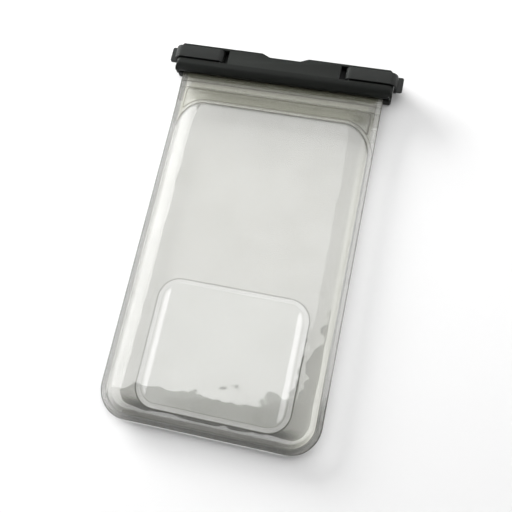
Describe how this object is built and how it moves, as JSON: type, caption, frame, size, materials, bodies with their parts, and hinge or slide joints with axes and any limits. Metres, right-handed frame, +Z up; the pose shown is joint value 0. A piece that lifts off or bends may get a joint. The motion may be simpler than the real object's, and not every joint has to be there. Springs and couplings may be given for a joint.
{
  "type": "waterproof phone pouch",
  "caption": "Flat see-through film pouch with a clear front window and a hinged hard clip with flip latches that seals its mouth against water.",
  "frame": {"origin": "under the middle of the object, on the surface that it lies on", "axes": "+X across the pouch to the right seen from its front, +Y from the foot of the pouch to the clip, +Z up out of the front"},
  "size_m": [0.1212, 0.192, 0.0116],
  "materials": {
    "clip_plastic": "fine matt moulded plastic, near black",
    "latch_plastic": "satin moulded plastic, near black",
    "smoke_film": "glossy see-through film, warm smoke grey",
    "clear_film": "glossy clear film",
    "zip_plastic": "soft pale grey plastic strip",
    "pin_steel": "bright drawn steel"
  },
  "bodies": {
    "pouch": {"back_panel": "smoke_film", "back_window": "clear_film", "front_window": "clear_film", "front_top_panel": "smoke_film", "zip_strip_back": "zip_plastic", "zip_strip_front": "zip_plastic", "clip_back_jaw": "clip_plastic", "right_hinge_pin": "pin_steel", "left_hinge_pin": "pin_steel"},
    "front_jaw": {"clip_front_jaw": "clip_plastic", "right_latch_pin": "pin_steel", "left_latch_pin": "pin_steel"},
    "right_latch": {"right_latch": "latch_plastic"},
    "left_latch": {"left_latch": "latch_plastic"}
  },
  "joints": [
    {"name": "jaw_hinge", "type": "hinge", "parent": "pouch", "child": "front_jaw", "pos_m": [0, 0.0835, 0.0072], "axis": [1, 0, 0], "range_deg": [0, 80]},
    {"name": "right_latch_hinge", "type": "hinge", "parent": "front_jaw", "child": "right_latch", "pos_m": [0.03345, 0.0912, 0.00921], "axis": [0, -1, 0], "range_deg": [0, 110]},
    {"name": "left_latch_hinge", "type": "hinge", "parent": "front_jaw", "child": "left_latch", "pos_m": [-0.03345, 0.0912, 0.00921], "axis": [0, 1, 0], "range_deg": [0, 110]}
  ]
}
